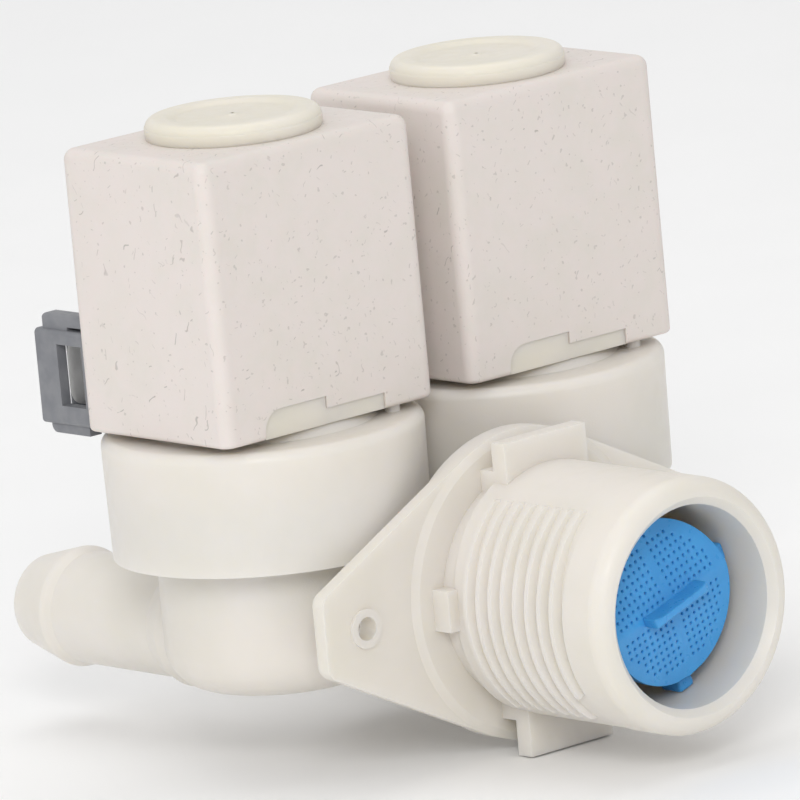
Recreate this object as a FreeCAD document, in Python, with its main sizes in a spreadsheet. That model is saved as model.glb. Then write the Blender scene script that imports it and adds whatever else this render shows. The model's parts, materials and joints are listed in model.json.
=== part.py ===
import FreeCAD, Part
import os
import Sketcher
from FreeCAD import Placement, Rotation, Vector

# Twin solenoid water inlet valve, in millimetres.
# Frame: X to the right, Y from the hose inlet towards the outlets, Z up along the coils.
# Origin: on the inlet axis, in the front face of the fixing flange.
# The two valves are built round a local axis (x = y = 0) and then placed at their own centres.

doc = FreeCAD.newDocument("TwinSolenoidValve")

# ---------------------------------------------------------------- driving dimensions
DIMENSIONS = [
    ("valve_pitch", "=2 * bonnet_radius + bonnet_gap", "distance between the two coil axes"),
    ("bonnet_gap", 0.2, "gap between the two bonnets"),
    ("axis_setback", "=flange_plate + flange_space + bonnet_radius", "coil axes behind the flange's front face"),
    ("flange_space", 1.0, "bonnets behind the flange plate"),
    ("skin_gap", 0.05, "clearance between parts that are fixed together"),
    ("coil_width", 28.0, "coil block across"),
    ("coil_depth", "=2 * (yoke_back + coil_wall)", "coil block front to back"),
    ("coil_wall", 0.95, "compound behind the yoke"),
    ("coil_height", 29.0, "coil block height"),
    ("coil_floor", 19.0, "underside of the coil block"),
    ("coil_corner", 1.4, "radius on the coil block's upright edges"),
    ("coil_edge", 1.2, "radius on its upper edges"),
    ("foot_edge", 0.5, "radius on its lower edges"),
    ("notch_half", 8.8, "left end of the notch in the coil block's front foot"),
    ("notch_right", 7.2, "right end of the low part of the notch"),
    ("apron_height", 1.7, "height of the notch right of the tab"),
    ("apron_setback", 0.2, "bobbin's apron there, behind the coil block's front"),
    ("notch_height", 2.9, "height of that notch"),
    ("notch_depth", 2.6, "depth of that notch"),
    ("notch_round", 2.2, "radius on the notch's upper corners"),
    ("tab_gap", 0.1, "gap between the bobbin's foot tab and the notch's end"),
    ("tab_right", 0.6, "right end of the bobbin's foot tab, from the axis"),
    ("tab_setback", 0.15, "face of that tab behind the coil block's front"),
    ("tab_stem", 6.4, "left side of the tab's stem, from the axis"),
    ("tab_root", 6.6, "back of that stem, in front of the axis"),
    ("bonnet_radius", 16.4, "bonnet outside radius"),
    ("bonnet_draft", 0.2, "how much narrower the bonnet is at its lower edge"),
    ("bonnet_wall", 1.7, "bonnet skirt thickness"),
    ("bonnet_bottom", 5.7, "lower edge of the bonnet skirt"),
    ("bonnet_top", 18.2, "bonnet deck"),
    ("bonnet_round", 1.0, "radius on the bonnet's upper edge"),
    ("ceiling", 15.4, "roof of the pilot chamber"),
    ("pilot_radius", 12.8, "pilot chamber radius"),
    ("hub_foot", 11.7, "radius of the bonnet's hub at the deck"),
    ("hub_head", 10.6, "radius of the bonnet's hub under the coil"),
    ("pin_radius", 0.8, "locating pins on the bonnet deck"),
    ("pin_spread", 9.5, "locating pins from the axis, along X"),
    ("pin_front", 9.2, "locating pins from the axis, along Y"),
    ("tube_radius", 5.0, "guide tube outside radius"),
    ("tube_wall", 0.9, "guide tube wall"),
    ("tube_top", 47.0, "top of the guide tube"),
    ("tube_end", 1.5, "thickness of the tube's closed end"),
    ("cap_radius", 9.0, "retaining cap radius at the coil"),
    ("cap_crown", 8.3, "retaining cap radius at the top of its bevel"),
    ("cap_rise", 2.1, "retaining cap above the coil block"),
    ("cap_bevel", 0.9, "height of the cap's bevel"),
    ("cap_draft", 0.05, "draft on the cap's side"),
    ("cap_dish", 5.95, "radius of the cap's shallow recess"),
    ("cap_dish_depth", 0.35, "depth of that recess"),
    ("dish_slope", 0.3, "slope of the recess's wall"),
    ("cap_gate", 0.55, "radius of the moulding stub in the recess"),
    ("gate_taper", 0.15, "taper of the moulding stub"),
    ("gate_rise", 0.2, "height of the moulding stub"),
    ("cap_grip", 1.05, "wall of the cap's socket round the tube"),
    ("cap_reach", 2.7, "depth of the socket below the coil block's top"),
    ("plunger_clearance", 0.08, "radial running clearance of the plunger"),
    ("plunger_foot", 13.9, "lower end of the plunger"),
    ("plunger_chamfer", 0.5, "chamfer on the plunger"),
    ("plunger_stroke", 2.4, "plunger lift"),
    ("stop_gap", 0.1, "space left above the lifted plunger"),
    ("flute_width", 1.2, "width of the plunger's two flutes"),
    ("flute_depth", 0.8, "depth of the plunger's two flutes"),
    ("spring_pocket", 9.0, "depth of the spring pocket in the plunger"),
    ("spring_coil", 2.1, "spring radius at the wire's centre"),
    ("spring_wire", 0.22, "spring wire radius"),
    ("spring_pitch", 1.25, "spring pitch"),
    ("pocket_gap", 0.25, "space between spring and pocket"),
    ("seal_radius", 1.8, "plunger seal radius"),
    ("seal_length", 2.4, "plunger seal length"),
    ("seal_proud", 0.4, "seal below the plunger"),
    ("seal_chamfer", 0.3, "chamfer on the plunger seal"),
    ("seat_bore", 5.2, "main seat bore radius"),
    ("seat_wall", 1.6, "main seat wall"),
    ("seat_top", 10.0, "main seat height"),
    ("pot_gap", 0.2, "gap between pot and bonnet skirt"),
    ("pot_top", 10.8, "rim of the pot"),
    ("pot_floor", 6.2, "underside of the pot's wide part"),
    ("pot_flare", 1.2, "height over which the bowl widens to the pot"),
    ("chamber_radius", 12.6, "upper radius of the ring chamber"),
    ("chamber_neck", 10.3, "lower radius of the ring chamber"),
    ("chamber_step", 0.6, "top of the ring chamber's lower wall, above the pot's floor"),
    ("chamber_rise", 2.2, "foot of its upper wall, above the pot's floor"),
    ("chamber_floor", 1.5, "floor of the ring chamber"),
    ("bowl_radius", 11.9, "bowl outside radius"),
    ("bowl_bottom", -8.3, "underside of the bowl"),
    ("bowl_round", 4.4, "radius on the bowl's lower edge"),
    ("well_floor", -6.4, "bottom of the outlet well"),
    ("bead_thick", 1.5, "diaphragm bead thickness"),
    ("bead_inset", 0.2, "diaphragm bead inside the chamber's wall"),
    ("web_thick", 0.7, "diaphragm web thickness"),
    ("web_inset", 0.6, "diaphragm web where it meets the bead"),
    ("pad_radius", 7.4, "diaphragm pad radius"),
    ("pad_thick", 1.9, "diaphragm pad thickness"),
    ("insert_stem", 3.1, "insert stem radius"),
    ("insert_disc", 6.4, "insert disc radius"),
    ("insert_disc_thick", 0.9, "insert disc thickness"),
    ("insert_claw", 4.3, "insert claw radius"),
    ("insert_claw_thick", 1.5, "insert claw thickness"),
    ("claw_taper", 0.5, "taper of the insert's claw"),
    ("claw_rise", 0.6, "height of that taper"),
    ("pilot_bore", 0.6, "pilot hole radius"),
    ("pilot_nozzle", 1.5, "pilot nozzle radius"),
    ("nozzle_height", 0.5, "pilot nozzle height"),
    ("nozzle_taper", 0.4, "taper of the pilot nozzle"),
    ("bleed_radius", 0.35, "bleed hole radius"),
    ("bleed_offset", 4.9, "bleed hole from the axis"),
    ("bush_wall", 0.5, "flux bush wall"),
    ("bush_length", 8.0, "flux bush length"),
    ("barrel_wall", 0.7, "bobbin barrel wall"),
    ("flange_r", "=tube_radius + 3 * skin_gap + bush_wall + barrel_wall + winding_wall + flange_lip",
     "bobbin flange radius"),
    ("flange_lip", 0.15, "bobbin flanges outside the winding"),
    ("flange_thick", 1.0, "bobbin flange thickness"),
    ("foot_thick", 2.85, "bobbin foot thickness"),
    ("winding_wall", 2.0, "copper winding thickness"),
    ("winding_chamfer", 0.3, "rounding of the winding's ends"),
    ("yoke_width", 20.0, "yoke strip width"),
    ("yoke_strip", 1.5, "yoke strip thickness"),
    ("yoke_front", 8.5, "yoke plates in front of the axis"),
    ("yoke_back", "=flange_r + yoke_gap + yoke_strip", "back of the yoke from the axis"),
    ("yoke_gap", 0.05, "yoke wall behind the bobbin flanges"),
    ("yoke_top", 45.0, "upper face of the yoke"),
    ("blade_first", -9.3, "first terminal from the axis, along X"),
    ("blade_pitch", 5.0, "distance between the two terminals"),
    ("blade_thick", 0.8, "terminal thickness"),
    ("blade_width", 6.3, "terminal width"),
    ("blade_mid", 23.65, "terminal centre height"),
    ("blade_root", 10.3, "terminal root from the axis"),
    ("blade_tip", 17.9, "terminal tip from the axis"),
    ("blade_corner", 1.2, "terminal corner radius"),
    ("shroud_left", -12.3, "connector left side from the axis"),
    ("shroud_width", 12.0, "connector width"),
    ("shroud_floor", 18.75, "connector underside"),
    ("shroud_height", 9.8, "connector height"),
    ("shroud_reach", 19.6, "connector mouth from the axis"),
    ("shroud_wall", 1.2, "connector wall"),
    ("shroud_base", 1.5, "connector base thickness"),
    ("rib_left", -8.35, "rib between the two terminals, left side from the axis"),
    ("rib_thick", 0.75, "thickness of that rib"),
    ("shroud_round", 0.5, "radius on the connector's long edges"),
    ("window_end", 16.3, "connector side window, far end"),
    ("window_foot", 0.85, "connector side window above the cavity's floor"),
    ("window_head", 0.2, "connector side window below the cavity's roof"),
    ("rail_rise", 1.6, "height of the connector's two top rails"),
    ("rail_width", 2.0, "width of a top rail"),
    ("rail_inset", 0.5, "top rails from the connector's sides"),
    ("rail_setback", 0.8, "top rails from the connector's mouth"),
    ("rail_slot", 3.8, "distance of the slot under a rail from its free end"),
    ("rail_slot_height", 0.35, "height of that slot"),
    ("rail_lap", 0.2, "how far rails and keel go into the connector"),
    ("keel_depth", 0.95, "height of the rail under the connector"),
    ("keel_width", 1.5, "width of that rail"),
    ("keel_start", "=sqrt(bonnet_radius ^ 2 - (shroud_left + rail_inset + keel_width) ^ 2) + keel_gap", "near end of that rail from the axis"),
    ("keel_gap", 0.14, "that rail behind the bonnet's rim"),
    ("keel_round", 0.8, "radius on that rail's free end"),
    ("mouth_reach", 24.9, "inlet mouth in front of the flange"),
    ("inlet_bore", 10.25, "inlet bore radius"),
    ("collar_radius", 13.0, "smooth collar at the inlet mouth"),
    ("collar_length", 5.6, "length of that collar"),
    ("mouth_round", 1.9, "radius on the mouth's outer edge"),
    ("mouth_ease", 0.8, "radius on the mouth's inner edge"),
    ("thread_major", 13.22, "thread crest radius"),
    ("thread_depth", 1.16, "thread depth"),
    ("thread_pitch", 1.814, "thread pitch"),
    ("thread_turns", 7.6, "number of thread turns"),
    ("thread_start", 4.2, "first thread from the flange"),
    ("thread_sink", 0.3, "how far the thread's root goes into the barrel"),
    ("thread_foot", 0.42, "half width of the thread's root, in pitches"),
    ("thread_crest", 0.14, "half width of the thread's crest, in pitches"),
    ("thread_band", 10.6, "half height of the threaded sides"),
    ("pad_sink", 0.05, "smooth pads above and below the thread, inside the collar"),
    ("thread_runin", 0.7, "slope from the collar down to the thread's root"),
    ("neck_runin", 0.6, "slope from the thread's root to the neck"),
    ("neck_radius", 11.9, "plain neck behind the thread"),
    ("cage_bore", 8.0, "bore for the flow regulator"),
    ("cage_front", 7.0, "front of that bore, before the flange"),
    ("cage_back", 1.0, "end of that bore, before the flange"),
    ("trunk_bore", 6.4, "passage to the two valves"),
    ("trunk_radius", 9.4, "outside of that passage"),
    ("trunk_overrun", 9.0, "passage past the coil axes, closed end"),
    ("trunk_roof", 5.4, "top of the passage's outside between the pots"),
    ("cross_radius", 2.0, "cross passage radius"),
    ("cross_height", 3.0, "cross passage height"),
    ("hole_spacing", 44.2, "fixing holes, centre to centre"),
    ("hole_radius", 1.2, "fixing hole radius"),
    ("hole_boss", 2.0, "raised ring round a fixing hole, radius"),
    ("boss_rise", 0.35, "height of that ring"),
    ("ear_radius", 5.9, "flange radius at the holes"),
    ("ear_end", 27.3, "flat end of an ear, from the inlet axis"),
    ("ear_round", 1.5, "radius on the ears' corners"),
    ("ear_ease", 0.9, "radius on the back edge of an ear's end"),
    ("disc_radius", 15.9, "flange radius at its centre"),
    ("disc_rise", 0.4, "central disc in front of the ears"),
    ("disc_slope", 0.9, "width of the slope round the central disc"),
    ("flange_plate", 2.2, "flange thickness"),
    ("hook_half", 5.5, "half width of a bayonet hook"),
    ("hook_gap", 2.4, "slot behind a hook"),
    ("hook_plate", 2.0, "hook thickness"),
    ("hook_reach", 16.4, "tip of the lower hook from the inlet axis"),
    ("hook_reach_upper", 15.8, "tip of the upper hook from the inlet axis"),
    ("hook_sink", 2.0, "how far hooks and lugs go into the neck"),
    ("hook_web_rise", 0.9, "web under a hook, above the neck"),
    ("hook_lap", 0.5, "how far webs and lugs go into the flange"),
    ("lug_half", 2.1, "half height of a side lug"),
    ("lug_reach", 13.3, "side lug from the inlet axis"),
    ("lug_length", 2.8, "side lug length"),
    ("outlet_drop", 4.1, "outlet axes below the inlet axis"),
    ("spigot_radius", 5.8, "spigot stem radius"),
    ("spigot_bore", 3.7, "spigot bore radius"),
    ("bore_start", 9.6, "near end of the spigot bore, from the coil axis"),
    ("throat_radius", 2.2, "passage from the outlet well to the spigot bore, radius"),
    ("spigot_reach", 37.1, "spigot tip from the coil axis"),
    ("barb_radius", 6.3, "spigot barb radius"),
    ("barb_from_tip", 6.4, "barb from the spigot's tip"),
    ("barb_land", 1.2, "slope behind the barb"),
    ("barb_round", 1.0, "radius on the barb"),
    ("tip_radius", 4.7, "spigot radius at its tip"),
    ("tip_round", 0.9, "radius on the spigot's tip"),
    ("root_radius", 6.4, "spigot root radius at the bowl"),
    ("root_length", 14.5, "spigot root from the coil axis"),
    ("spigot_start", 5.0, "near end of the spigot, from the coil axis"),
    ("root_nose", 3.5, "radius of that end"),
    ("root_nose_length", 4.0, "length over which the root widens"),
    ("root_taper", 2.0, "length over which the root narrows to the stem"),
    ("filter_setback", 3.9, "strainer face behind the mouth"),
    ("filter_radius", "=inlet_bore - filter_gap", "strainer face radius"),
    ("filter_gap", 1.9, "strainer face inside the inlet bore"),
    ("filter_plate", 1.0, "strainer face thickness"),
    ("filter_skirt", "=filter_radius - filter_taper", "strainer skirt radius at its back"),
    ("filter_taper", 0.95, "how much narrower the strainer's back is"),
    ("filter_length", 9.5, "strainer length"),
    ("filter_wall", 0.9, "strainer skirt wall"),
    ("filter_draft", 0.1, "draft inside the strainer"),
    ("foot_reach", "=inlet_bore - foot_gap", "strainer feet from the axis"),
    ("foot_gap", 0.1, "strainer feet inside the inlet bore"),
    ("foot_width", 2.0, "width of a strainer foot"),
    ("foot_long", 3.0, "length of a strainer foot"),
    ("foot_sink", 0.6, "how far a strainer foot goes into the skirt"),
    ("foot_setback", 2.0, "strainer foot behind the face"),
    ("foot_turn", 18.4, "angle of the first strainer foot"),
    ("grip_length", 7.8, "strainer grip bar length"),
    ("grip_width", 1.3, "strainer grip bar width"),
    ("grip_rise", 2.6, "strainer grip bar height"),
    ("grip_sink", 0.2, "how far the grip bar goes into the face"),
    ("grip_turn", 18.4, "angle of the grip bar"),
    ("washer_bore", 1.7, "flow regulator hole radius"),
    ("washer_thick", 3.0, "flow regulator thickness"),
    ("washer_chamfer", 0.9, "chamfer in the flow regulator"),
    ("cage_wall", 0.9, "regulator cage wall"),
    ("cage_plate", 1.2, "regulator cage end plate"),
    ("cage_hole", 2.6, "regulator cage outlet radius"),
]

sheet = doc.addObject("Spreadsheet::Sheet", "Dims")
for row, (alias, value, note) in enumerate(DIMENSIONS, start=1):
    sheet.set("A%d" % row, alias)
    sheet.setAlias("B%d" % row, alias)
    sheet.set("C%d" % row, note)
for row, (alias, value, note) in enumerate(DIMENSIONS, start=1):
    sheet.set("B%d" % row, str(value))
doc.recompute()

ALIASES = sorted((alias for alias, _, _ in DIMENSIONS), key=len, reverse=True)
SUBPARTS = []


def size(alias):
    """A driving dimension's value, read back from the sheet."""
    return float(sheet.get(alias))


def bound(expression):
    """The expression with every alias written as a cell of the sheet."""
    words = ""
    token = ""
    for letter in expression + " ":
        if letter.isalnum() or letter == "_":
            token += letter
            continue
        words += "Dims." + token if token in ALIASES else token
        words += letter
        token = ""
    return words.strip()


def value_of(expression):
    """The number that an expression of driving dimensions has now."""
    probe = doc.getObject("Probe") or doc.addObject("App::FeaturePython", "Probe")
    return float(probe.evalExpression(bound(expression)))


def bind(target, **properties):
    """Set properties by expression; px, py and pz stand for the placement's position."""
    places = {"px": "Placement.Base.x", "py": "Placement.Base.y", "pz": "Placement.Base.z"}
    for name, expression in properties.items():
        target.setExpression(places.get(name, name), bound(expression))
    return target


# ---------------------------------------------------------------- building blocks
TURN = {
    "X": Rotation(Vector(0, 1, 0), 90),
    "Y": Rotation(Vector(1, 0, 0), -90),
    "Z": Rotation(),
}


def rod(name, axis, radius, length, x="0", y="0", z="0"):
    """A cylinder from (x, y, z) along +axis."""
    item = doc.addObject("Part::Cylinder", name)
    item.Placement = Placement(Vector(), TURN[axis])
    return bind(item, Radius=radius, Height=length, px=x, py=y, pz=z)


def block(name, x, y, z, dx, dy, dz):
    """A box from its lowest corner and its three lengths."""
    item = doc.addObject("Part::Box", name)
    return bind(item, Length=dx, Width=dy, Height=dz, px=x, py=y, pz=z)


def joined(name, pieces):
    """The union of several shapes."""
    item = doc.addObject("Part::MultiFuse", name)
    item.Shapes = pieces
    item.Refine = True
    return item


def carved(name, base, tools):
    """The base with the tools cut away."""
    item = doc.addObject("Part::Cut", name)
    item.Base = base
    item.Tool = tools[0] if len(tools) == 1 else joined(name + "_tools", tools)
    item.Refine = True
    return item


def rounded(name, base, groups):
    """The base with fillets: each group is a radius and a test that picks its edges."""
    doc.recompute()
    edges = []
    for radius, wanted in groups:
        for index, edge in enumerate(base.Shape.Edges, start=1):
            if wanted(edge):
                edges.append((index, radius, radius))
    item = doc.addObject("Part::Fillet", name)
    item.Base = base
    item.Edges = edges
    return item


def profile_sketch(body, name, plane, points):
    """A closed sketch through points whose coordinates are bound to the sheet."""
    sketch = body.newObject("Sketcher::SketchObject", name)
    origin_plane = [f for f in body.Origin.OriginFeatures if f.Role == plane + "_Plane"][0]
    sketch.AttachmentSupport = [(origin_plane, "")]
    sketch.MapMode = "FlatFace"
    corners = [Vector(value_of(a), value_of(b), 0) for a, b in points]
    count = len(points)
    for i in range(count):
        sketch.addGeometry(Part.LineSegment(corners[i], corners[(i + 1) % count]), False)
    for i in range(count):
        sketch.addConstraint(Sketcher.Constraint("Coincident", i, 2, (i + 1) % count, 1))
    for i, point in enumerate(points):
        for kind, expression, start in zip(("DistanceX", "DistanceY"), point, corners[i]):
            made = sketch.addConstraint(Sketcher.Constraint(kind, -1, 1, i, 1, start))
            sketch.setExpression("Constraints[%d]" % made, bound(expression))
    return sketch


def turned(name, points, axis="Z"):
    """A body of revolution from (radius, place along the axis) points."""
    body = doc.addObject("PartDesign::Body", name)
    sketch = profile_sketch(body, name + "_profile", {"Z": "XZ", "Y": "XY"}[axis], points)
    feature = body.newObject("PartDesign::Revolution", name + "_turn")
    feature.Profile = sketch
    feature.ReferenceAxis = (sketch, ["V_Axis"])
    feature.Angle = 360
    return body


def softened(body, groups):
    """Fillets on a body's last feature: each group is a size and a test for its edges."""
    for alias, wanted in groups:
        doc.recompute()
        last = body.Tip
        names = ["Edge%d" % i for i, e in enumerate(last.Shape.Edges, start=1) if wanted(e)]
        fillet = body.newObject("PartDesign::Fillet", "%s_%s" % (body.Name, alias))
        fillet.Base = (last, names)
        fillet.setExpression("Radius", bound(alias))
        body.Tip = fillet
    return body


def ring_edge(radius, height, axis="Z"):
    """A test for the round edge with this radius, at this place along the axis."""
    want_radius = value_of(radius)
    want_height = value_of(height)
    index = "XYZ".index(axis)

    def wanted(edge):
        curve = edge.Curve
        return (isinstance(curve, Part.Circle) and abs(curve.Radius - want_radius) < 1e-4
                and abs(curve.Center[index] - want_height) < 1e-4)
    return wanted


def subpart(item, label, x="0", y="0"):
    """Name a finished sub-part and put it in its place."""
    item.Label = label
    bind(item, px=x, py=y)
    SUBPARTS.append(item)
    return item


# ---------------------------------------------------------------- valve body
def inlet_barrel():
    """Collar, threaded length and neck, and the smooth pads above and below the thread."""
    barrel = turned("Barrel", [
        ("0", "-mouth_reach"),
        ("collar_radius", "-mouth_reach"),
        ("collar_radius", "-mouth_reach + collar_length"),
        ("thread_major - thread_depth", "-mouth_reach + collar_length + thread_runin"),
        ("thread_major - thread_depth", "-thread_start + thread_pitch"),
        ("neck_radius", "-thread_start + thread_pitch + neck_runin"),
        ("neck_radius", "flange_plate / 2"),
        ("0", "flange_plate / 2"),
    ], "Y")
    softened(barrel, [("mouth_round", ring_edge("collar_radius", "-mouth_reach", "Y"))])
    pads = [barrel]
    for i, side in enumerate(("1", "-1")):
        pads.append(rod("ThreadPad%d" % i, "Y", "thread_major - thread_depth",
                        "mouth_reach - collar_length - thread_start + thread_pitch",
                        y="-mouth_reach + collar_length",
                        z=side + " * (collar_radius - thread_major + thread_depth - pad_sink)"))
    return pads


def inlet_thread():
    """The pipe thread: a helical rib, kept on both sides and left out above and below."""
    pitch = size("thread_pitch")
    root = size("thread_major") - size("thread_depth")
    low = root - size("thread_sink")
    foot = size("thread_foot") * pitch
    crest = size("thread_crest") * pitch
    helix = Part.makeHelix(pitch, pitch * size("thread_turns"), root)
    rib = Part.makePolygon([
        Vector(low, 0, -foot),
        Vector(low, 0, foot),
        Vector(size("thread_major"), 0, crest),
        Vector(size("thread_major"), 0, -crest),
        Vector(low, 0, -foot),
    ])
    solid = Part.Wire(helix.Edges).makePipeShell([rib], True, True)
    solid.rotate(Vector(), Vector(1, 0, 0), 90)
    solid.translate(Vector(0, -size("thread_start"), 0))
    wide = 4 * size("thread_major")
    tall = 2 * size("thread_band")
    keep = Part.makeBox(wide, wide, tall, Vector(-wide / 2, -wide, -tall / 2))
    thread = doc.addObject("Part::Feature", "Thread")
    thread.Shape = solid.common(keep)
    return thread


def flange():
    """The diamond plate: two flat-ended ears that widen to a central disc."""
    slope = "(disc_radius - ear_radius) / (hole_spacing / 2)"
    rise = "sqrt(1 - (%s) ^ 2)" % slope
    corners = []
    for sx, sz in ((1, 1), (1, -1), (-1, -1), (-1, 1)):
        near = ("%d * disc_radius * (%s)" % (sx, slope), "%d * disc_radius * (%s)" % (sz, rise))
        far = ("%d * ear_end" % sx,
               "%d * (ear_radius - (%s) * (ear_end - hole_spacing / 2)) / (%s)"
               % (sz, slope, rise))
        corners += [near, far] if sx * sz > 0 else [far, near]
    body = doc.addObject("PartDesign::Body", "FlangePlate")
    sketch = profile_sketch(body, "FlangeOutline", "XZ", corners)
    pad = body.newObject("PartDesign::Pad", "FlangePad")
    pad.Profile = sketch
    pad.setExpression("Length", bound("flange_plate"))
    pad.Reversed = True
    end = value_of("ear_end")
    back = value_of("flange_plate")
    at_end = lambda edge: abs(edge.BoundBox.XMin ** 2 - end ** 2) < 0.01
    softened(body, [
        ("ear_round", lambda edge: at_end(edge) and edge.BoundBox.YLength > 1),
        ("ear_ease", lambda edge: at_end(edge) and edge.BoundBox.YMin > back - 1e-4
         and edge.BoundBox.XLength < 1e-4),
    ])
    bosses = [rod("HoleBoss%d" % i, "Y", "hole_boss", "boss_rise + 1",
                  "%s * hole_spacing / 2" % s, "-boss_rise")
              for i, s in enumerate(("-1", "1"))]
    disc = turned("FlangeDisc", [
        ("0", "-disc_rise"),
        ("disc_radius - disc_slope", "-disc_rise"),
        ("disc_radius", "0"),
        ("disc_radius", "flange_plate"),
        ("0", "flange_plate"),
    ], "Y")
    return [body, disc] + bosses


def hooks_and_lugs():
    """Two bayonet hooks above and below the neck, and a small lug on each side."""
    pieces = []
    sides = (("neck_radius - hook_sink", "neck_radius - hook_sink", "hook_reach_upper",
              "neck_radius - hook_sink"),
             ("-hook_reach", "-neck_radius - hook_web_rise", "hook_reach", "-lug_reach"))
    for i, (low, web_low, reach, left) in enumerate(sides):
        pieces.append(block("Hook%d" % i, "-hook_half", "-(hook_gap + hook_plate)", low,
                            "2 * hook_half", "hook_plate", reach + " - neck_radius + hook_sink"))
        pieces.append(block("HookWeb%d" % i, "-hook_half", "-hook_gap - hook_lap", web_low,
                            "2 * hook_half", "hook_gap + 2 * hook_lap",
                            "hook_sink + hook_web_rise"))
        pieces.append(block("Lug%d" % i, left, "-lug_length", "-lug_half",
                            "lug_reach - neck_radius + hook_sink", "lug_length + hook_lap",
                            "2 * lug_half"))
    return pieces


def pot_and_spigot(tag, x):
    """One diaphragm pot with its bowl, and the spigot that leaves it."""
    pot = turned("Pot" + tag, [
        ("0", "bowl_bottom"),
        ("bowl_radius", "bowl_bottom"),
        ("bowl_radius", "pot_floor - pot_flare"),
        ("bonnet_radius - bonnet_wall - pot_gap", "pot_floor"),
        ("bonnet_radius - bonnet_wall - pot_gap", "pot_top"),
        ("0", "pot_top"),
    ])
    softened(pot, [("bowl_round", ring_edge("bowl_radius", "bowl_bottom"))])
    bind(pot, px=x, py="axis_setback")
    spigot = turned("Spigot" + tag, [
        ("0", "spigot_start"),
        ("root_nose", "spigot_start"),
        ("root_radius", "spigot_start + root_nose_length"),
        ("root_radius", "root_length - root_taper"),
        ("spigot_radius", "root_length"),
        ("spigot_radius", "spigot_reach - barb_from_tip - barb_land"),
        ("barb_radius", "spigot_reach - barb_from_tip"),
        ("tip_radius", "spigot_reach"),
        ("0", "spigot_reach"),
    ], "Y")
    softened(spigot, [
        ("tip_round", ring_edge("tip_radius", "spigot_reach", "Y")),
        ("barb_round", ring_edge("barb_radius", "spigot_reach - barb_from_tip", "Y")),
    ])
    bind(spigot, px=x, py="axis_setback", pz="-outlet_drop")
    return [pot, spigot]


def pot_passages(tag, x):
    """The ring chamber round the main seat, the outlet well and the spigot's bore."""
    chamber = turned("Chamber" + tag, [
        ("seat_bore + seat_wall", "chamber_floor"),
        ("chamber_neck", "chamber_floor"),
        ("chamber_neck", "pot_floor + chamber_step"),
        ("chamber_radius", "pot_floor + chamber_rise"),
        ("chamber_radius", "pot_top + 1"),
        ("0", "pot_top + 1"),
        ("0", "seat_top"),
        ("seat_bore + seat_wall", "seat_top"),
    ])
    bind(chamber, px=x, py="axis_setback")
    well = rod("Well" + tag, "Z", "seat_bore", "seat_top + 1 - well_floor",
               x, "axis_setback", "well_floor")
    bore = rod("SpigotBore" + tag, "Y", "spigot_bore", "spigot_reach + 1 - bore_start",
               x, "axis_setback + bore_start", "-outlet_drop")
    throat = rod("Throat" + tag, "Y", "throat_radius", "bore_start + 1",
                 x, "axis_setback", "-outlet_drop")
    return [chamber, well, bore, throat]


def valve_body():
    left, right = "-valve_pitch / 2", "valve_pitch / 2"
    trunk = rod("Trunk", "Y", "trunk_radius", "axis_setback + trunk_overrun")
    headroom = block("TrunkHeadroom", "-valve_pitch / 2", "flange_plate + 0.01", "trunk_roof",
                     "valve_pitch", "axis_setback + trunk_overrun", "bonnet_top")
    low_trunk = carved("LowTrunk", trunk, [headroom])
    solids = inlet_barrel() + [low_trunk] + flange() + hooks_and_lugs()
    solids += pot_and_spigot("A", left) + pot_and_spigot("B", right)
    mouth = turned("InletBore", [
        ("0", "-mouth_reach - 1"),
        ("inlet_bore + mouth_ease + 1", "-mouth_reach - 1"),
        ("inlet_bore + mouth_ease", "-mouth_reach"),
        ("inlet_bore", "-mouth_reach + mouth_ease"),
        ("inlet_bore", "-cage_front"),
        ("cage_bore", "-cage_front"),
        ("cage_bore", "-cage_back"),
        ("trunk_bore", "-cage_back"),
        ("trunk_bore", "axis_setback + trunk_overrun - 2"),
        ("0", "axis_setback + trunk_overrun - 2"),
    ], "Y")
    cross = rod("CrossPassage", "X", "cross_radius", "valve_pitch - 2 * (seat_bore + seat_wall) - 1",
                "-(valve_pitch - 2 * (seat_bore + seat_wall) - 1) / 2", "axis_setback",
                "cross_height")
    holes = [rod("FixingHole%d" % i, "Y", "hole_radius", "flange_plate + 4",
                 "%s * hole_spacing / 2" % s, "-2")
             for i, s in enumerate(("-1", "1"))]
    tools = [mouth, cross] + holes + pot_passages("A", left) + pot_passages("B", right)
    smooth = carved("SmoothBody", joined("BodySolids", solids), tools)
    whole = doc.addObject("Part::Fuse", "ValveBody")
    whole.Base = smooth
    whole.Tool = inlet_thread()
    return subpart(whole, "valve_body")


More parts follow.
